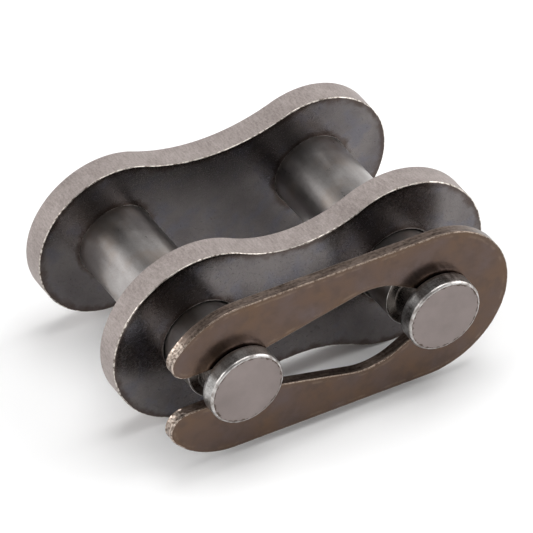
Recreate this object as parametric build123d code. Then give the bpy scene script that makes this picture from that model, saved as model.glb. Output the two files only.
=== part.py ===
from build123d import *

import math
import os

# Connecting link of a 428-size motorcycle drive chain: two pins pressed into a rear
# outer plate, a cover plate that slides on the pins, and a spring clip in their grooves.
#
# Millimetres. +X runs along the chain, towards the clip's closed end. The pins run along
# Y, from the rear plate at +Y to the clip at -Y, and +Z is up. The origin is halfway
# between the pins' axes and halfway along the pins.

# Driving dimensions
pitch = 12.7
pin_radius = 2.3
groove_radius = 1.75
plate_thickness = 1.6
seated_gap = 11.2
open_gap = 7.9
clip_thickness = 0.7

# Plate outlines: round lobes about the pins, joined by a concave waist
rear_lobe_radius = 4.95
rear_waist = 3.7
cover_lobe_radius = 5.55
cover_waist = 4.0
plate_edge_break = 0.12
hole_edge_break = 0.2

# Fits. The clip sits against the pins' heads, with slack behind it in the groove.
press_interference = 0.01
slide_clearance = 0.04
seat_clearance = 0.07
clip_side_clearance = 0.05
groove_slack = 0.65

# Pin ends
rear_end_length = 0.5
rear_end_chamfer = 0.3
head_length = 1.05
head_chamfer = 0.14
shoulder_chamfer = 0.1

# Spring clip outline
clip_half_width = 5.03
closed_end_shift = 0.25
mouth_half_width = 1.3
slot_widest_x = 2.54
slot_widest = 3.11
slot_bend_radius = 3.8
neck_half_width = 1.53
tip_radius = 1.1
clip_edge_break = 0.08

# Stations along the pins, as depths in front of the pins' rear ends
rear_plate_at = rear_end_length
cover_plate_at = rear_plate_at + plate_thickness + open_gap
seated_front = rear_plate_at + 2 * plate_thickness + seated_gap
clip_at = seated_front + clip_side_clearance
groove_at = clip_at - groove_slack
groove_end = clip_at + clip_thickness + clip_side_clearance
pin_length = groove_end + head_length

half_pitch = pitch / 2
seat_radius = groove_radius + seat_clearance
rear_hole_radius = pin_radius - press_interference
cover_hole_radius = pin_radius + slide_clearance


def station(depth):
    """The upright plane at a depth in front of the pins' rear ends, facing forward."""
    return Plane.XZ.offset(depth - pin_length / 2)


def outer_rims(solid):
    """The outside edges of a flat piece's front and back faces."""
    ends = solid.faces().sort_by(Axis.Y)
    return ends[0].outer_wire().edges() + ends[-1].outer_wire().edges()


def link_outline(lobe_radius, waist):
    """Figure-of-eight plate outline, made of four tangent arcs."""
    waist_radius = (half_pitch**2 + waist**2 - lobe_radius**2) / (2 * (lobe_radius - waist))
    waist_centre = waist + waist_radius
    share = lobe_radius / (lobe_radius + waist_radius)
    join_x = half_pitch * (1 - share)
    join_y = waist_centre * share
    tip_x = half_pitch + lobe_radius
    right = ThreePointArc((join_x, -join_y), (tip_x, 0), (join_x, join_y))
    top = ThreePointArc((join_x, join_y), (0, waist), (-join_x, join_y))
    left = ThreePointArc((-join_x, join_y), (-tip_x, 0), (-join_x, -join_y))
    bottom = ThreePointArc((-join_x, -join_y), (0, -waist), (join_x, -join_y))
    return make_face([right, top, left, bottom])


def link_plate(depth, lobe_radius, waist, hole_radius):
    """One punched plate: a figure of eight with two holes, all its edges broken."""
    outline = link_outline(lobe_radius, waist)
    for x in (-half_pitch, half_pitch):
        outline -= Pos(x, 0) * Circle(hole_radius)
    plate = extrude(station(depth) * outline, plate_thickness)
    circles = plate.edges().filter_by(GeomType.CIRCLE)
    plate = chamfer(circles.filter_by(lambda e: e.radius < hole_radius + 0.01), hole_edge_break)
    return chamfer(outer_rims(plate), plate_edge_break)


def pin(x):
    """Pin turned about its own axis: peened rear end, barrel, clip groove and head."""
    profile = Polyline(
        (0, 0),
        (pin_radius - rear_end_chamfer, 0),
        (pin_radius, rear_end_chamfer),
        (pin_radius, groove_at - shoulder_chamfer),
        (pin_radius - shoulder_chamfer, groove_at),
        (groove_radius, groove_at),
        (groove_radius, groove_end),
        (pin_radius - shoulder_chamfer, groove_end),
        (pin_radius, groove_end + shoulder_chamfer),
        (pin_radius, pin_length - head_chamfer),
        (pin_radius - head_chamfer, pin_length),
        (0, pin_length),
        close=True,
    )
    turned = revolve(Plane.XZ * make_face(profile), Axis.Z)
    return station(0) * Pos(x, 0, 0) * turned


def clip_slot():
    """The clip's opening: two round seats, a wide middle, and the mouth between the tips."""
    left_neck = -half_pitch + math.sqrt(seat_radius**2 - mouth_half_width**2)
    right_neck = half_pitch - math.sqrt(seat_radius**2 - neck_half_width**2)
    middle = Polygon(
        (-half_pitch, mouth_half_width),
        (left_neck, mouth_half_width),
        (slot_widest_x, slot_widest),
        (right_neck, neck_half_width),
        (half_pitch, neck_half_width),
        (half_pitch, -neck_half_width),
        (right_neck, -neck_half_width),
        (slot_widest_x, -slot_widest),
        (left_neck, -mouth_half_width),
        (-half_pitch, -mouth_half_width),
        align=None,
    )
    widest = middle.vertices().filter_by(lambda v: abs(abs(v.Y) - slot_widest) < 0.01)
    middle = fillet(widest, slot_bend_radius)
    mouth = Pos(-half_pitch, 0) * Rectangle(
        2 * clip_half_width,
        2 * mouth_half_width,
        align=(Align.MAX, Align.CENTER),
    )
    seats = Pos(-half_pitch, 0) * Circle(seat_radius) + Pos(half_pitch, 0) * Circle(seat_radius)
    return middle + mouth + seats


def spring_clip():
    """Hairpin clip punched from strip, its legs joined round the +X pin."""
    closed_x = half_pitch - closed_end_shift
    body = Rectangle(
        closed_x + half_pitch,
        2 * clip_half_width,
        align=(Align.MIN, Align.CENTER),
    )
    blank = (
        Pos(-half_pitch, 0) * body
        + Pos(-half_pitch, 0) * Circle(clip_half_width)
        + Pos(closed_x, 0) * Circle(clip_half_width)
    )
    outline = blank - clip_slot()
    tips = outline.vertices().sort_by(Axis.X)[:2]
    outline = fillet(tips, tip_radius)
    strip = extrude(station(clip_at) * outline, clip_thickness)
    return chamfer(outer_rims(strip), clip_edge_break)


nodes = {
    "rear_outer_plate": link_plate(rear_plate_at, rear_lobe_radius, rear_waist, rear_hole_radius),
    "pin_left": pin(-half_pitch),
    "pin_right": pin(half_pitch),
    "cover_plate": link_plate(cover_plate_at, cover_lobe_radius, cover_waist, cover_hole_radius),
    "spring_clip": spring_clip(),
}

os.makedirs("parts", exist_ok=True)
for name, shape in nodes.items():
    export_step(shape, f"parts/{name}.step")
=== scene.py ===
import math

import bmesh
import bpy
from mathutils import Matrix, Vector, kdtree, noise
from mathutils.geometry import delaunay_2d_cdt


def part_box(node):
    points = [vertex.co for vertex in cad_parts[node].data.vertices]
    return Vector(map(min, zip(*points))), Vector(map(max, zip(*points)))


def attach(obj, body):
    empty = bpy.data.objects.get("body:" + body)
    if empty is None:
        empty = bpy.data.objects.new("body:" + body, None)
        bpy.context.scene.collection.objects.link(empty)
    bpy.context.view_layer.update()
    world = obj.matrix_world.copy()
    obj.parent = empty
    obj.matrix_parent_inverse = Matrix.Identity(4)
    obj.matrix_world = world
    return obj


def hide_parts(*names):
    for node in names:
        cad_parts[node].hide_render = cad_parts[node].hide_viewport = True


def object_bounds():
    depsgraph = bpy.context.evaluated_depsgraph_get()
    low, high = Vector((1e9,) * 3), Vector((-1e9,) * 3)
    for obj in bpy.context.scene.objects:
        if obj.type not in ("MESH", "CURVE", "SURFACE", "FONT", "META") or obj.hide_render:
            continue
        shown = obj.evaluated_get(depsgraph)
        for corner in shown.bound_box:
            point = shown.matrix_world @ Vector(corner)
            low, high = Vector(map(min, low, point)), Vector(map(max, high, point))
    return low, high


# Connecting link of a motorcycle chain: two plates, two pins and a spring clip.
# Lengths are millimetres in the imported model's frame, and MM turns them into metres.

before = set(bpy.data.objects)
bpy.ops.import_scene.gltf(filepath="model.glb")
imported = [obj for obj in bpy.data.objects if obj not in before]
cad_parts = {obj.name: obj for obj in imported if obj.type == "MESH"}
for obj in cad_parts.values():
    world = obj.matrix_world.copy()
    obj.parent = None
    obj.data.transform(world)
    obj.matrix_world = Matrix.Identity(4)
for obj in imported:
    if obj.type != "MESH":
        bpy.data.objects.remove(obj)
cad_low, cad_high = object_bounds()
MM = 0.001


def span(node):
    """A CAD node's lowest and highest corners, in millimetres."""
    low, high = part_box(node)
    return low / MM, high / MM


# ---------------------------------------------------------------- dimensions

# Plates. The edge break rounds a plate's back corners, and worn front ones are sharper.
REAR_WAIST = 3.7
COVER_WAIST = 4.0
PRESS_INTERFERENCE = 0.01
SLIDE_CLEARANCE = 0.04
PLATE_EDGE_BREAK = 0.12
REAR_HOLE_BREAK = 0.05
COVER_HOLE_BREAK = 0.1

# Pins
GROOVE_RADIUS = 1.75
GROOVE_SLACK = 0.65
GROOVE_GAP = 0.05
REAR_CHAMFER = 0.3
HEAD_CHAMFER = 0.14
SHOULDER = 0.1
# How far wear takes a pin's rings in, unevenly
TURNED, RUBBED, BATTERED = 0.004, 0.006, 0.035

# Spring clip. The mouth, the neck and the slot's widest place are half widths.
CLIP_EDGE_BREAK = 0.08
SEAT_CLEARANCE = 0.07
MOUTH = 1.3
NECK = 1.53
SLOT_X, SLOT_Z = 2.54, 3.11
SLOT_BEND_RADIUS = 3.8
TIP_RADIUS = 1.1
TORN_LENGTH = 0.8
FLAKE_DEPTH = 0.09

pin_low, pin_high = span("pin_right")
clip_low, clip_high = span("spring_clip")
half_pitch = (pin_low.x + pin_high.x) / 2
pin_radius = (pin_high.x - pin_low.x) / 2
groove_rear = clip_high.y + GROOVE_SLACK
groove_front = clip_low.y - GROOVE_GAP

# Mesh fineness. GRID_ROW is the height of a triangle with sides of 1, and SEED_STEPS take
# each seed to its own part of the noise.
ARC_STEP = 0.05
PLATE_STEP, PLATE_GRID = 0.1, 0.4
CLIP_STEP, CLIP_GRID = 0.08, 0.3
WALL_BANDS, BARREL_BANDS, HEAD_BANDS = 7, 12, 4
PIN_SIDES = 160
GRID_ROW = 0.866
SEED_STEPS = (17.3, 5.9, 11.7)

# Material slots of a plate and of the clip, which has torn tips in place of bores
FACE, WALL, BURR, BORE = range(4)
TORN = BORE
# Material slots of a pin. The groove's slot is painted near black as shade.
END, CHAMFER, BARREL, GROOVE, HEAD = range(5)


# ---------------------------------------------------------------- outlines


def arc(centre, radius, start, end):
    """Points on an arc, from one angle to another, the last one left out."""
    count = max(2, math.ceil(abs(end - start) * radius / ARC_STEP))
    angles = [start + (end - start) * i / count for i in range(count)]
    return [centre + radius * Vector((math.cos(a), math.sin(a))) for a in angles]


def rounded_corner(before, corner, after, radius):
    """The arc that rounds a corner between two straight lines."""
    a, b = (before - corner).normalized(), (after - corner).normalized()
    half = a.angle(b) / 2
    centre = corner + (a + b).normalized() * (radius / math.sin(half))
    start = corner + a * (radius / math.tan(half)) - centre
    end = corner + b * (radius / math.tan(half)) - centre
    first = math.atan2(start.y, start.x)
    turn = (math.atan2(end.y, end.x) - first + math.pi) % (2 * math.pi) - math.pi
    return arc(centre, radius, first, first + turn) + [centre + end]


def quarter_round(steps):
    """Shares of an edge break, (inset, depth), from a face round to the wall."""
    turns = [math.radians(90 / steps * k) for k in range(steps + 1)]
    return [(1 - math.sin(a), 1 - math.cos(a)) for a in turns]


def resample(points, step):
    """Evenly spaced points round a closed line."""
    closed = points + [points[0]]
    lengths = [(b - a).length for a, b in zip(closed, closed[1:])]
    total = sum(lengths)
    count = round(total / step)
    even, i, run = [], 0, 0.0
    for k in range(count):
        at = total * k / count
        while run + lengths[i] < at:
            run += lengths[i]
            i += 1
        even.append(closed[i].lerp(closed[i + 1], (at - run) / lengths[i]))
    return even


def smoothed(points, passes):
    """The closed line with its corners softened."""
    for _ in range(passes):
        ends = zip(points[-1:] + points[:-1], points, points[1:] + points[:1])
        points = [(a + 2 * b + c) / 4 for a, b, c in ends]
    return points


def normals(points):
    """Directions out of the material, for a line that keeps the material on its left."""
    ends = zip(points[-1:] + points[:-1], points[1:] + points[:1])
    return [Vector(((b - a).y, -(b - a).x)).normalized() for a, b in ends]


def mirrored(line):
    """The line turned over about the chain's axis."""
    return [Vector((p.x, -p.y)) for p in line]


def figure_eight(lobe_radius, waist):
    """A link plate's outline, four tangent arcs, anticlockwise."""
    waist_radius = (half_pitch**2 + waist**2 - lobe_radius**2) / (2 * (lobe_radius - waist))
    waist_centre = waist + waist_radius
    bend = math.atan2(waist_centre, half_pitch)
    lobe_end = math.pi - bend
    right, left = Vector((half_pitch, 0)), Vector((-half_pitch, 0))
    above, below = Vector((0, waist_centre)), Vector((0, -waist_centre))
    return (
        arc(right, lobe_radius, -lobe_end, lobe_end)
        + arc(above, waist_radius, -bend, bend - math.pi)
        + arc(left, lobe_radius, bend, 2 * math.pi - bend)
        + arc(below, waist_radius, math.pi - bend, bend)
    )


def clip_outline():
    """The clip's outline, anticlockwise from the lower tip round its closed end."""
    half_width = clip_high.z
    seat = GROOVE_RADIUS + SEAT_CLEARANCE
    right, left = Vector((half_pitch, 0)), Vector((-half_pitch, 0))
    closed = Vector((clip_high.x - half_width, 0))
    reach = math.sqrt((half_width - TIP_RADIUS) ** 2 - (MOUTH + TIP_RADIUS) ** 2)
    tip = Vector((-half_pitch - reach, MOUTH + TIP_RADIUS))
    tip_angle = math.atan2(tip.y, tip.x - left.x)
    seat_mouth = math.asin(MOUTH / seat)
    seat_neck = math.asin(NECK / seat)

    outer = arc(tip, TIP_RADIUS, 1.5 * math.pi, tip_angle)
    outer += arc(left, half_width, tip_angle, math.pi / 2)
    outer += arc(closed, half_width, math.pi / 2, 0)
    outer.append(closed + Vector((half_width, 0)))

    leave_left = Vector((left.x + math.cos(seat_mouth) * seat, MOUTH))
    widest = Vector((SLOT_X, SLOT_Z))
    reach_right = Vector((right.x - math.cos(seat_neck) * seat, NECK))
    inner = [Vector((tip.x, MOUTH))]
    inner += arc(left, seat, math.pi - seat_mouth, seat_mouth)
    inner.append(leave_left)
    inner += rounded_corner(leave_left, widest, reach_right, SLOT_BEND_RADIUS)
    inner.append(reach_right)
    inner += arc(right, seat, math.pi - seat_neck, 0)
    inner.append(right + Vector((seat, 0)))

    return mirrored(outer) + outer[-2::-1] + inner + mirrored(inner)[-2::-1]


# ---------------------------------------------------------------- meshes


def wobble(scale, seed):
    """Smooth noise from 0 to 1 over a point in the plane, with bumps 1/scale apart."""
    shift = Vector([seed * step for step in SEED_STEPS])

    def value(p):
        return 0.5 + 0.5 * noise.noise(Vector((p.x, p.y, 0)) * scale + shift)

    return value


def scaled(depth, share):
    """A share of a depth that varies along a line."""
    return lambda p: depth(p) * share


def point_tree(points):
    """A search tree of points in the plane."""
    tree = kdtree.KDTree(len(points))
    for i, p in enumerate(points):
        tree.insert((p.x, p.y, 0), i)
    tree.balance()
    return tree


def grid_points(loops, spacing):
    """Points spread over a face, at least half their spacing in from its outlines."""
    edge = [p for loop in loops for p in loop]
    outward = [n for loop in loops for n in normals(loop)]
    tree = point_tree(edge)
    low = Vector((min(p.x for p in edge), min(p.y for p in edge)))
    high = Vector((max(p.x for p in edge), max(p.y for p in edge)))
    found = []
    rows = int((high.y - low.y) / (spacing * GRID_ROW)) + 1
    for row in range(rows):
        y = low.y + row * spacing * GRID_ROW
        x = low.x + (row % 2) * spacing / 2
        while x < high.x:
            _, i, distance = tree.find((x, y, 0))
            inside = (Vector((x, y)) - edge[i]).dot(outward[i]) < 0
            if inside and distance > spacing / 2:
                found.append(Vector((x, y)))
            x += spacing
    return found


class Blank:
    """A flat piece punched from plate: its faces lie across Y, from front to back.

    The rim attribute is each point's distance in from the nearest edge.
    """

    def __init__(self, front, back):
        self.front, self.back = front, back
        self.bm = bmesh.new()
        self.rim = self.bm.verts.layers.float.new("rim")
        self.inner = {"front": [], "back": []}

    def vertex(self, point, y, rim):
        made = self.bm.verts.new((point.x * MM, y * MM, point.y * MM))
        made[self.rim] = rim
        return made

    def edge_wall(self, line, rings, zones):
        """Rings of (inset, depth from the front face) round one outline. Both are numbers, or
        functions of the place along the line. zones are the material slots between rings."""
        outward = normals(line)
        made = []
        for inset, depth in rings:
            ring = []
            for p, n in zip(line, outward):
                d = inset(p) if callable(inset) else inset
                y = self.front + (depth(p) if callable(depth) else depth)
                ring.append(self.vertex(p - n * d, y, d))
            made.append(ring)
        for a, b, zone in zip(made, made[1:], zones):
            for i in range(len(line)):
                j = (i + 1) % len(line)
                self.bm.faces.new((a[i], a[j], b[j], b[i])).material_index = zone
        self.inner["front"].append(made[0])
        self.inner["back"].append(made[-1])

    def cap(self, spacing):
        """Fills the front and back faces inside their innermost rings. The first ring is the
        outline, and any others are holes."""
        loops = [[Vector((v.co.x, v.co.z)) / MM for v in ring] for ring in self.inner["front"]]
        border = [p for loop in loops for p in loop]
        spread = grid_points(loops, spacing)
        edges, start = [], 0
        for loop in loops:
            n = len(loop)
            edges += [(start + i, start + (i + 1) % n) for i in range(n)]
            start += n
        inset = [v[self.rim] for ring in self.inner["front"] for v in ring]
        tree = point_tree(border)
        nearest = [tree.find((p.x, p.y, 0)) for p in spread]
        depth = [inset[i] + distance for _, i, distance in nearest]
        inside_with_holes, merge_below = 2, 1e-7
        _, _, faces, kept, _, _ = delaunay_2d_cdt(
            border + spread, edges, [], inside_with_holes, merge_below
        )
        corners = [[kept[i][0] for i in face] for face in faces]
        # the triangulation fills round holes too, with triangles that touch only their rings
        holes = range(len(loops[0]), len(border))
        corners = [face for face in corners if not all(i in holes for i in face)]
        for side, y in (("front", self.front), ("back", self.back)):
            vertices = [v for ring in self.inner[side] for v in ring]
            vertices += [self.vertex(p, y, d) for p, d in zip(spread, depth)]
            for face in corners:
                self.bm.faces.new([vertices[i] for i in face]).material_index = FACE


def finished(bm, node, materials):
    """The mesh as an object that stands for a CAD node, shaded smooth between flat faces."""
    bmesh.ops.recalc_face_normals(bm, faces=bm.faces)
    name = node + "_shown"
    mesh = bpy.data.meshes.new(name)
    bm.to_mesh(mesh)
    bm.free()
    mesh.shade_smooth()
    for material in materials:
        mesh.materials.append(material)
    made = bpy.data.objects.new(name, mesh)
    bpy.context.scene.collection.objects.link(made)
    weighted = made.modifiers.new("weighted_normals", "WEIGHTED_NORMAL")
    weighted.mode = "FACE_AREA"
    weighted.weight = 60
    return made


def link_plate(node, waist, hole_radius, hole_break, seed, materials):
    """A punched link plate: even back corners, worn front ones and two chamfered holes."""
    low, high = span(node)
    thick = high.y - low.y
    plate = Blank(low.y, high.y)
    chip, ripple = wobble(4.0, seed), wobble(1.3, seed + 1)
    corner = quarter_round(5)

    def bite(p):
        """The edge break of the front corner, uneven along it."""
        return PLATE_EDGE_BREAK * (0.25 + 0.8 * chip(p) * ripple(p))

    face = [(inset, 0.0) for inset in (1.5, 1.1, 0.75, 0.5, 0.32, 0.22)]
    worn = [(scaled(bite, a), scaled(bite, b)) for a, b in corner]
    wall = [(0.0, thick * k / WALL_BANDS) for k in range(1, WALL_BANDS)]
    even = [(PLATE_EDGE_BREAK * a, thick - PLATE_EDGE_BREAK * b) for a, b in reversed(corner)]
    back = [(inset, thick) for inset, _ in reversed(face)]
    zones = (
        [FACE] * len(face)
        + [BURR] * (len(worn) - 1)
        + [WALL] * (len(wall) + len(even))
        + [FACE] * len(back)
    )
    outline = resample(figure_eight(high.z, waist), PLATE_STEP)
    plate.edge_wall(outline, face + worn + wall + even + back, zones)

    c = hole_break
    front = [(0.3, 0), (0.2, 0), (c + 0.02, 0)]
    front += [(c * 0.7, c * 0.1), (c * 0.1, c * 0.7), (0, c + 0.02)]
    back = [(inset, thick - depth) for inset, depth in reversed(front)]
    zones = [FACE] * 2 + [BORE] * 7 + [FACE] * 2
    for x in (-half_pitch, half_pitch):
        clockwise = arc(Vector((x, 0)), hole_radius, 2 * math.pi, 0)
        plate.edge_wall(resample(clockwise, PLATE_STEP), front + back, zones)
    plate.cap(PLATE_GRID)
    return finished(plate.bm, node, materials)


def pin_rings(low, high):
    """A pin's rings from its rear end to its head: the material slot of the band after the
    ring, its radius, its place, its wear, and its depth in from the rim."""
    rings = []

    def ring(slot, radius, y, wear=0.0, depth=0.0):
        rings.append((slot, radius, y, wear, depth))

    r = pin_radius
    ring(END, 1.0, high.y, depth=1.0)
    ring(CHAMFER, r - REAR_CHAMFER - 0.05, high.y, depth=0.05)
    for inset, depth in quarter_round(6)[1:-1]:
        ring(CHAMFER, r - REAR_CHAMFER * inset, high.y - REAR_CHAMFER * depth, TURNED)

    barrel_start = high.y - REAR_CHAMFER
    barrel_end = groove_rear + SHOULDER
    ring(BARREL, r, barrel_start - 0.02)
    first, last = barrel_start - 0.06, barrel_end + 0.02
    for k in range(BARREL_BANDS + 1):
        ring(BARREL, r, first + (last - first) * k / BARREL_BANDS)
    ring(CHAMFER, r, barrel_end)

    # Past a thin bright band, the shoulder into the groove takes the groove's near-black material,
    # which is painted shade.
    ring(GROOVE, r - 0.02, barrel_end - 0.02, RUBBED)
    ring(GROOVE, r - 0.06, barrel_end - 0.065, RUBBED)
    ring(GROOVE, r - SHOULDER, groove_rear, TURNED)
    ring(GROOVE, GROOVE_RADIUS + 0.06, groove_rear)
    ring(GROOVE, GROOVE_RADIUS, groove_rear - 0.06)
    ring(GROOVE, GROOVE_RADIUS, groove_rear - 0.2)
    ring(GROOVE, GROOVE_RADIUS, groove_front + 0.2)
    ring(GROOVE, GROOVE_RADIUS, groove_front + 0.05)
    ring(GROOVE, GROOVE_RADIUS + 0.05, groove_front)

    head_start = groove_front - SHOULDER
    head_end = low.y + HEAD_CHAMFER
    ring(HEAD, r - SHOULDER, groove_front)
    ring(HEAD, r - 0.03, groove_front - 0.07, TURNED)
    last = head_end + 0.05
    for k in range(HEAD_BANDS + 1):
        ring(HEAD, r, head_start + (last - head_start) * k / HEAD_BANDS)

    ring(CHAMFER, r, head_end)
    for depth, inset in quarter_round(5)[1:-1]:
        ring(CHAMFER, r - HEAD_CHAMFER * inset, low.y + HEAD_CHAMFER * depth, BATTERED)
    ring(END, r - HEAD_CHAMFER, low.y)
    ring(END, r - HEAD_CHAMFER - 0.06, low.y, depth=0.06)
    ring(END, r - HEAD_CHAMFER - 0.3, low.y, depth=0.3)
    ring(END, 1.0, low.y, depth=1.0)
    return rings


def chain_pin(node, seed, materials):
    """A turned pin: chamfered rear end, barrel, clip groove and head, as rings round its axis."""
    low, high = span(node)
    centre = (low.x + high.x) / 2
    bm = bmesh.new()
    rim = bm.verts.layers.float.new("rim")
    rough = wobble(2.6, seed)
    rings = pin_rings(low, high)
    made = []
    for _, radius, y, wear, depth in rings:
        circle = []
        for k in range(PIN_SIDES):
            a = 2 * math.pi * k / PIN_SIDES
            out = Vector((math.cos(a), math.sin(a)))
            r = radius - wear * rough(out * 4 + Vector((y * 3, 0)))
            v = bm.verts.new(((centre + r * out.x) * MM, y * MM, r * out.y * MM))
            v[rim] = depth
            circle.append(v)
        made.append(circle)
    for a, b, (slot, *_) in zip(made, made[1:], rings):
        for k in range(PIN_SIDES):
            j = (k + 1) % PIN_SIDES
            bm.faces.new((a[k], a[j], b[j], b[k])).material_index = slot
    for circle, y in ((made[0], high.y), (made[-1], low.y)):
        hub = bm.verts.new((centre * MM, y * MM, 0))
        hub[rim] = 2.0
        for k in range(PIN_SIDES):
            bm.faces.new((circle[k], circle[(k + 1) % PIN_SIDES], hub)).material_index = END
    return finished(bm, node, materials)


def spring_clip(node, materials):
    """The clip: worn front corners, even back ones, and ragged sheared tips."""
    thick = clip_high.y - clip_low.y
    tip_x = clip_low.x
    piece = Blank(clip_low.y, clip_high.y)
    chip = wobble(4.5, 21)
    corner = quarter_round(4)

    def torn(p):
        """1 at the sheared tips, fading to 0 between 0.6 and 1.1 mm from their ends."""
        return max(0.0, min(1.0, (tip_x + 1.1 - p.x) / 0.5))

    def bite(p):
        """The edge break of the front corner, more uneven at the tips."""
        return CLIP_EDGE_BREAK * (0.6 + 0.8 * chip(p) * (0.5 + 0.5 * torn(p)))

    def flaked(layer):
        """The inset of the wall at one depth, rough at the tips only."""
        return lambda p: FLAKE_DEPTH * torn(p) * layer(p) ** 2

    face = [(inset, 0.0) for inset in (0.2, 0.14)]
    worn = [(scaled(bite, a), scaled(bite, b)) for a, b in corner]
    wall = [(flaked(wobble(9.0, 30 + k)), thick * k / WALL_BANDS) for k in range(1, WALL_BANDS)]
    even = [(CLIP_EDGE_BREAK * a, thick - CLIP_EDGE_BREAK * b) for a, b in reversed(corner)]
    back = [(inset, thick) for inset, _ in reversed(face)]
    zones = (
        [FACE] * len(face)
        + [BURR] * (len(worn) - 1)
        + [WALL] * (len(wall) + len(even))
        + [FACE] * len(back)
    )
    line = smoothed(resample(clip_outline(), CLIP_STEP), 4)
    piece.edge_wall(line, face + worn + wall + even + back, zones)

    ragged = wobble(3.0, 40)
    for band in piece.bm.faces:
        at = band.calc_center_median() / MM
        reach = TORN_LENGTH * (0.5 + 1.3 * ragged(Vector((at.x + at.y, at.z))))
        if band.material_index != FACE and at.x < tip_x + reach:
            band.material_index = TORN
    piece.cap(CLIP_GRID)
    return finished(piece.bm, node, materials)


# ---------------------------------------------------------------- materials


class Surface:
    """A material whose colour, roughness and relief come from noise in real millimetres."""

    def __init__(self, name, metallic=1.0, specular=0.5):
        self.material = bpy.data.materials.new(name)
        self.material.use_nodes = True
        self.tree = self.material.node_tree
        self.bsdf = self.tree.nodes["Principled BSDF"]
        self.bsdf.inputs["Metallic"].default_value = metallic
        self.bsdf.inputs["Specular IOR Level"].default_value = specular
        self.coordinates = self.tree.nodes.new("ShaderNodeTexCoord").outputs["Object"]
        self.relief = None

    def add(self, kind, inputs, **settings):
        """A shader node. Its inputs are values, or other nodes' sockets, by name or number."""
        node = self.tree.nodes.new("ShaderNode" + kind)
        for key, value in settings.items():
            setattr(node, key, value)
        for key, value in inputs.items():
            if isinstance(value, bpy.types.NodeSocket):
                self.tree.links.new(value, node.inputs[key])
            else:
                node.inputs[key].default_value = value
        return node

    def noise(self, per_mm, detail, seed=0.0):
        """Noise from 0 to 1 with this many bumps to the millimetre, along X, Y and Z or all."""
        if not isinstance(per_mm, tuple):
            per_mm = (per_mm,) * 3
        scale = tuple(n / MM for n in per_mm)
        shift = (seed, seed * 1.7, seed * 0.6)
        place = self.add("Mapping", {"Vector": self.coordinates, "Scale": scale, "Location": shift})
        inputs = {"Vector": place.outputs[0], "Scale": 1.0, "Detail": detail, "Roughness": 0.55}
        return self.add("TexNoise", inputs).outputs["Fac"]

    def rim(self):
        """The distance in from the nearest edge, in millimetres."""
        return self.add("Attribute", {}, attribute_name="rim").outputs["Fac"]

    def math(self, operation, a, b):
        return self.add("Math", {0: a, 1: b}, operation=operation).outputs[0]

    def weighted(self, *parts):
        """The sum of sockets, each with its weight."""
        shares = [self.math("MULTIPLY", socket, weight) for socket, weight in parts]
        total = shares[0]
        for share in shares[1:]:
            total = self.math("ADD", total, share)
        return total

    def remap(self, value, low, high, to_low=0.0, to_high=1.0):
        """A smooth step from one range to another."""
        inputs = {0: value, 1: low, 2: high, 3: to_low, 4: to_high}
        return self.add("MapRange", inputs, interpolation_type="SMOOTHSTEP").outputs[0]

    def ramp(self, factor, stops):
        """A colour ramp with its stops as (position, colour)."""
        node = self.add("ValToRGB", {"Fac": factor})
        elements = node.color_ramp.elements
        while len(elements) < len(stops):
            elements.new(0.5)
        for element, (position, colour) in zip(elements, stops):
            element.position = position
            element.color = (*colour, 1)
        return node.outputs["Color"]

    def paint(self, base, colour, cover):
        """A colour over a base, where cover is above 0."""
        node = self.add("Mix", {0: cover, 6: base, 7: (*colour, 1)}, data_type="RGBA")
        return node.outputs[2]

    def colour(self, socket):
        self.tree.links.new(socket, self.bsdf.inputs["Base Color"])

    def roughness(self, socket):
        self.tree.links.new(socket, self.bsdf.inputs["Roughness"])

    def bump(self, height, microns):
        """Relief of this many thousandths of a millimetre, on top of any before it."""
        inputs = {"Strength": 1.0, "Distance": microns * 1e-6, "Height": height}
        if self.relief is not None:
            inputs["Normal"] = self.relief
        self.relief = self.add("Bump", inputs).outputs[0]
        self.tree.links.new(self.relief, self.bsdf.inputs["Normal"])


def plate_face():
    """Blued, tumbled plate face: near black, half gloss, bluer in patches, browner at its edge."""
    dark, pale = (0.125, 0.113, 0.115), (0.19, 0.174, 0.17)
    blue, brown = (0.135, 0.134, 0.16), (0.075, 0.055, 0.047)
    s = Surface("plate_face")
    cloud = s.noise(0.35, 4, seed=3)
    grain = s.noise(9, 3, seed=8)
    base = s.ramp(cloud, [(0.3, dark), (0.7, pale)])
    patches = s.remap(s.noise(0.7, 4, seed=14), 0.48, 0.68, 0.0, 0.6)
    base = s.paint(base, blue, patches)
    uneven = s.remap(s.noise(1.6, 3, seed=5), 0.2, 0.8, -0.18, 0.18)
    border = s.remap(s.math("ADD", s.rim(), uneven), 0.08, 0.55, 0.85, 0.0)
    s.colour(s.paint(base, brown, border))
    s.roughness(s.remap(grain, 0.2, 0.8, 0.2, 0.3))
    s.bump(grain, 0.8)
    return s.material


def plate_wall():
    """Sheared and ground edge of a plate: matte warm grey, finely streaked across."""
    dark, pale = (0.212, 0.178, 0.166), (0.362, 0.316, 0.298)
    s = Surface("plate_wall", metallic=0.35, specular=0.4)
    streak = s.noise((8.5, 2.5, 8.5), 3, seed=2)
    speck = s.noise((11, 10, 11), 2, seed=9)
    mottle = s.noise(0.8, 3, seed=6)
    fine = s.weighted((streak, 0.6), (speck, 0.4))
    s.colour(s.ramp(s.weighted((fine, 0.75), (mottle, 0.25)), [(0.38, dark), (0.62, pale)]))
    s.roughness(s.remap(streak, 0.2, 0.8, 0.5, 0.68))
    s.bump(streak, 7)
    s.bump(speck, 5)
    return s.material


def bright_edge(name, dark, light, per_mm=7, microns=3):
    """A worn or burred corner: bare metal with darker breaks in it."""
    s = Surface(name)
    fleck = s.noise(per_mm, 3, seed=4)
    s.colour(s.ramp(fleck, [(0.36, dark), (0.58, light)]))
    s.roughness(s.remap(fleck, 0.3, 0.7, 0.42, 0.28))
    s.bump(s.noise(12, 2, seed=1), microns)
    return s.material


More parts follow.
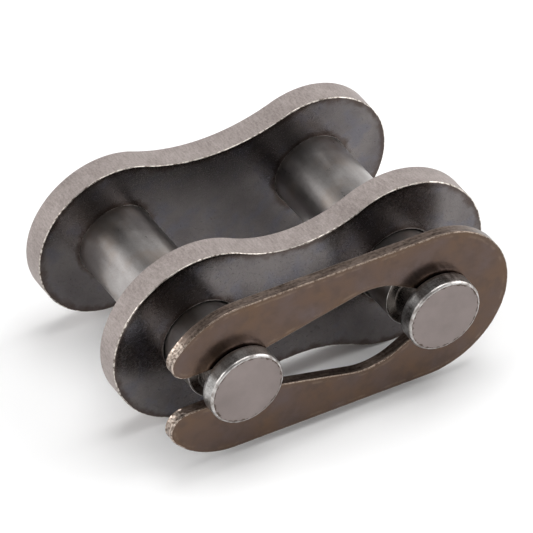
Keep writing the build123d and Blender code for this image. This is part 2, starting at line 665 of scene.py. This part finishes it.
def pin_ground(name, dark, light, rough, seed, tint=None, spread=0.2):
    """Ground pin surface: satin grey, clouded, faintly streaked along the pin, and tinted
    in patches where a tint is given."""
    s = Surface(name)
    along = s.noise((3.5, 0.6, 3.5), 4, seed=seed)
    cloud = s.noise(0.9, 4, seed=seed + 1)
    fine = s.noise((12, 9, 12), 2, seed=seed + 2)
    tone = s.weighted((along, 0.25), (fine, 0.3), (cloud, 0.45))
    base = s.ramp(tone, [(0.5 - spread, dark), (0.5 + spread, light)])
    if tint:
        patches = s.remap(s.noise(0.5, 3, seed=seed + 5), 0.45, 0.7)
        base = s.paint(base, tint, s.math("MULTIPLY", patches, 0.45))
    s.colour(base)
    s.roughness(s.remap(tone, 0.3, 0.7, rough, rough + 0.08))
    s.bump(along, 0.3)
    s.bump(fine, 0.18)
    return s.material


def pin_end():
    """The pin's flat end: fine matte grey, with a ragged brown line round its rim."""
    dark, pale, brown = (0.21, 0.178, 0.169), (0.28, 0.239, 0.228), (0.07, 0.048, 0.036)
    s = Surface("pin_end")
    grain = s.noise(10, 3, seed=7)
    cloud = s.noise(0.6, 3, seed=1)
    flat = s.ramp(s.weighted((grain, 0.35), (cloud, 0.65)), [(0.3, dark), (0.7, pale)])
    uneven = s.remap(s.noise(3, 3, seed=6), 0.3, 0.7, -0.07, 0.09)
    line = s.remap(s.math("ADD", s.rim(), uneven), 0.02, 0.1, 0.85, 0.0)
    s.colour(s.paint(flat, brown, line))
    s.roughness(s.remap(grain, 0.2, 0.8, 0.45, 0.55))
    s.bump(grain, 0.8)
    return s.material


def clip_face():
    """Tempered strip: bronze brown, greyer and darker in patches, and paler in places just
    inside its edge."""
    bronze, brown, grey = (0.122, 0.077, 0.051), (0.108, 0.073, 0.058), (0.11, 0.082, 0.076)
    stain, edge, rubbed = (0.086, 0.06, 0.05), (0.12, 0.078, 0.048), (0.24, 0.18, 0.13)
    s = Surface("clip_face")
    cloud = s.noise(0.45, 4, seed=12)
    grain = s.noise(8, 3, seed=3)
    face = s.ramp(cloud, [(0.3, bronze), (0.52, brown), (0.7, grey)])
    face = s.paint(face, stain, s.remap(s.noise(1.3, 4, seed=17), 0.45, 0.7, 0.0, 0.6))
    depth = s.rim()
    face = s.paint(face, edge, s.remap(depth, 0.05, 0.4, 0.35, 0.0))
    band = s.math("MULTIPLY", s.remap(depth, 0.16, 0.24), s.remap(depth, 0.4, 0.3))
    places = s.remap(s.noise(1.6, 4, seed=9), 0.45, 0.65, 0.0, 0.28)
    s.colour(s.paint(face, rubbed, s.math("MULTIPLY", band, places)))
    s.roughness(s.remap(grain, 0.2, 0.8, 0.17, 0.25))
    s.bump(grain, 1.0)
    return s.material


def clip_wall():
    """Sheared side of the strip: dark brown with fine lines along it."""
    dark, pale = (0.07, 0.05, 0.04), (0.22, 0.17, 0.142)
    s = Surface("clip_wall")
    line = s.noise((1.0, 8, 1.0), 3, seed=14)
    grain = s.noise((6, 8, 6), 3, seed=2)
    tone = s.weighted((line, 0.5), (grain, 0.5))
    s.colour(s.ramp(tone, [(0.36, dark), (0.64, pale)]))
    s.roughness(s.remap(tone, 0.2, 0.8, 0.26, 0.4))
    s.bump(line, 3)
    s.bump(grain, 2)
    return s.material


# ---------------------------------------------------------------- the pieces

# in the order of the material slots
plate_materials = [
    plate_face(),
    plate_wall(),
    bright_edge("plate_burr", (0.12, 0.095, 0.08), (0.62, 0.57, 0.52), per_mm=5),
    bright_edge("plate_bore", (0.14, 0.13, 0.125), (0.26, 0.245, 0.235)),
]
pin_materials = [
    pin_end(),
    bright_edge("pin_chamfer", (0.26, 0.235, 0.22), (0.52, 0.5, 0.485), per_mm=3, microns=1),
    pin_ground(
        "pin_barrel", (0.28, 0.26, 0.252), (0.43, 0.409, 0.4), 0.27, 1, tint=(0.33, 0.26, 0.21)
    ),
    # The groove's near-black colours are painted shade for the recess; its steel is the same as the
    # barrel's.
    pin_ground("pin_groove_painted_shade", (0.025, 0.022, 0.02), (0.16, 0.14, 0.125), 0.24, 3),
    pin_ground("pin_head_side", (0.15, 0.14, 0.133), (0.55, 0.54, 0.53), 0.33, 4, spread=0.1),
]
clip_materials = [
    clip_face(),
    clip_wall(),
    bright_edge("clip_burr", (0.09, 0.062, 0.048), (0.27, 0.215, 0.175)),
    bright_edge("clip_torn", (0.1, 0.07, 0.055), (0.5, 0.42, 0.36), per_mm=6, microns=14),
]

rear_hole = pin_radius - PRESS_INTERFERENCE
cover_hole = pin_radius + SLIDE_CLEARANCE
rear = link_plate("rear_outer_plate", REAR_WAIST, rear_hole, REAR_HOLE_BREAK, 1, plate_materials)
cover = link_plate("cover_plate", COVER_WAIST, cover_hole, COVER_HOLE_BREAK, 5, plate_materials)
pin_left = chain_pin("pin_left", 2, pin_materials)
pin_right = chain_pin("pin_right", 9, pin_materials)
clip = spring_clip("spring_clip", clip_materials)

for piece, node, body, slot in (
    (rear, "rear_outer_plate", "link", "plate_steel"),
    (pin_left, "pin_left", "link", "pin_steel"),
    (pin_right, "pin_right", "link", "pin_steel"),
    (cover, "cover_plate", "cover", "plate_steel"),
    (clip, "spring_clip", "clip", "clip_steel"),
):
    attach(piece, body)
    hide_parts(node)


# ---------------------------------------------------------------- floor, light and camera

FLOOR_HALF_SIZE = 1.5
FLOOR_DROP = 0.00002
LIGHT_DISTANCE = 0.5


def direction(azimuth, elevation):
    """Towards a place round the object. Azimuth 0 is in front, and 90 to the right."""
    a, e = math.radians(azimuth), math.radians(elevation)
    return Vector((math.sin(a) * math.cos(e), -math.cos(a) * math.cos(e), math.sin(e)))


def floor():
    """A plain pale floor just under the object."""
    grid = bmesh.new()
    bmesh.ops.create_grid(grid, x_segments=8, y_segments=8, size=FLOOR_HALF_SIZE)
    mesh = bpy.data.meshes.new("floor")
    grid.to_mesh(mesh)
    grid.free()
    ground = bpy.data.objects.new("floor", mesh)
    ground.location.z = cad_low.z - FLOOR_DROP
    bpy.context.scene.collection.objects.link(ground)
    s = Surface("floor_white", metallic=0.0, specular=0.1)
    tone = s.noise(0.01, 2)
    s.colour(s.ramp(tone, [(0.3, (0.935,) * 3), (0.7, (0.95,) * 3)]))
    s.roughness(s.remap(tone, 0.2, 0.8, 0.8, 0.9))
    mesh.materials.append(s.material)


def softbox(name, azimuth, elevation, size, power):
    """A large soft light aimed at the object."""
    data = bpy.data.lights.new(name, "AREA")
    data.shape = "RECTANGLE"
    data.size, data.size_y = size
    data.energy = power
    light = bpy.data.objects.new(name, data)
    away = direction(azimuth, elevation)
    light.location = away * LIGHT_DISTANCE
    light.rotation_euler = away.to_track_quat("Z", "Y").to_euler()
    bpy.context.scene.collection.objects.link(light)


def studio():
    """A pale tent: bright at the horizon, darker overhead and above the front left."""
    world = bpy.data.worlds.new("studio")
    world.use_nodes = True
    tree = world.node_tree
    look = tree.nodes.new("ShaderNodeTexCoord").outputs["Generated"]

    def fade(toward, stops):
        """Grey levels that change with how far a direction leans one way."""
        lean = tree.nodes.new("ShaderNodeVectorMath")
        lean.operation = "DOT_PRODUCT"
        lean.inputs[1].default_value = toward
        ramp = tree.nodes.new("ShaderNodeValToRGB")
        tree.links.new(look, lean.inputs[0])
        tree.links.new(lean.outputs["Value"], ramp.inputs["Fac"])
        for element, (position, level) in zip(ramp.color_ramp.elements, stops):
            element.position = position
            element.color = (level, level, level, 1)
        return ramp.outputs["Color"]

    overhead = fade((0, 0, 1), ((0.38, 0.95), (0.74, 0.2)))
    front_left = fade((-0.4, -0.65, 0.645), ((0.76, 1.0), (0.92, 0.45)))
    both = tree.nodes.new("ShaderNodeMix")
    both.data_type, both.blend_type = "RGBA", "MULTIPLY"
    both.inputs[0].default_value = 1
    tree.links.new(overhead, both.inputs[6])
    tree.links.new(front_left, both.inputs[7])
    background = tree.nodes["Background"].inputs
    tree.links.new(both.outputs[2], background["Color"])
    background["Strength"].default_value = 1.15
    bpy.context.scene.world = world


def photographer():
    """A long lens to the left of the object and above it, turned slightly about its view."""
    azimuth, elevation, roll = -31.443, 40.165, math.radians(1.542)
    distance = 391.72
    aim_right, aim_up, aim_back = -0.190, 0.004, 0.05
    sensor, focal_pixels, image_pixels = 36.0, 7000, 533

    forward = -direction(azimuth, elevation)
    level_right = forward.cross(Vector((0, 0, 1))).normalized()
    level_up = level_right.cross(forward)
    right = level_right * math.cos(roll) + level_up * math.sin(roll)
    up = right.cross(forward)
    aim = level_right * aim_right + level_up * aim_up + Vector((0, aim_back, 0))

    data = bpy.data.cameras.new("camera")
    data.lens, data.sensor_width = focal_pixels * sensor / image_pixels, sensor
    data.clip_start, data.clip_end = 0.01, 10
    camera = bpy.data.objects.new("camera", data)
    camera.matrix_world = Matrix((right, up, -forward)).transposed().to_4x4()
    camera.location = (aim - forward * distance) * MM
    bpy.context.scene.collection.objects.link(camera)
    bpy.context.scene.camera = camera


floor()
studio()
softbox("left_softbox", -102, 28, (0.36, 0.26), 1.0)
softbox("right_softbox", 80, 28, (0.4, 0.3), 1.2)
softbox("top_softbox", 120, 80, (0.36, 0.36), 1.5)
photographer()
bpy.context.scene.view_settings.view_transform = "Standard"
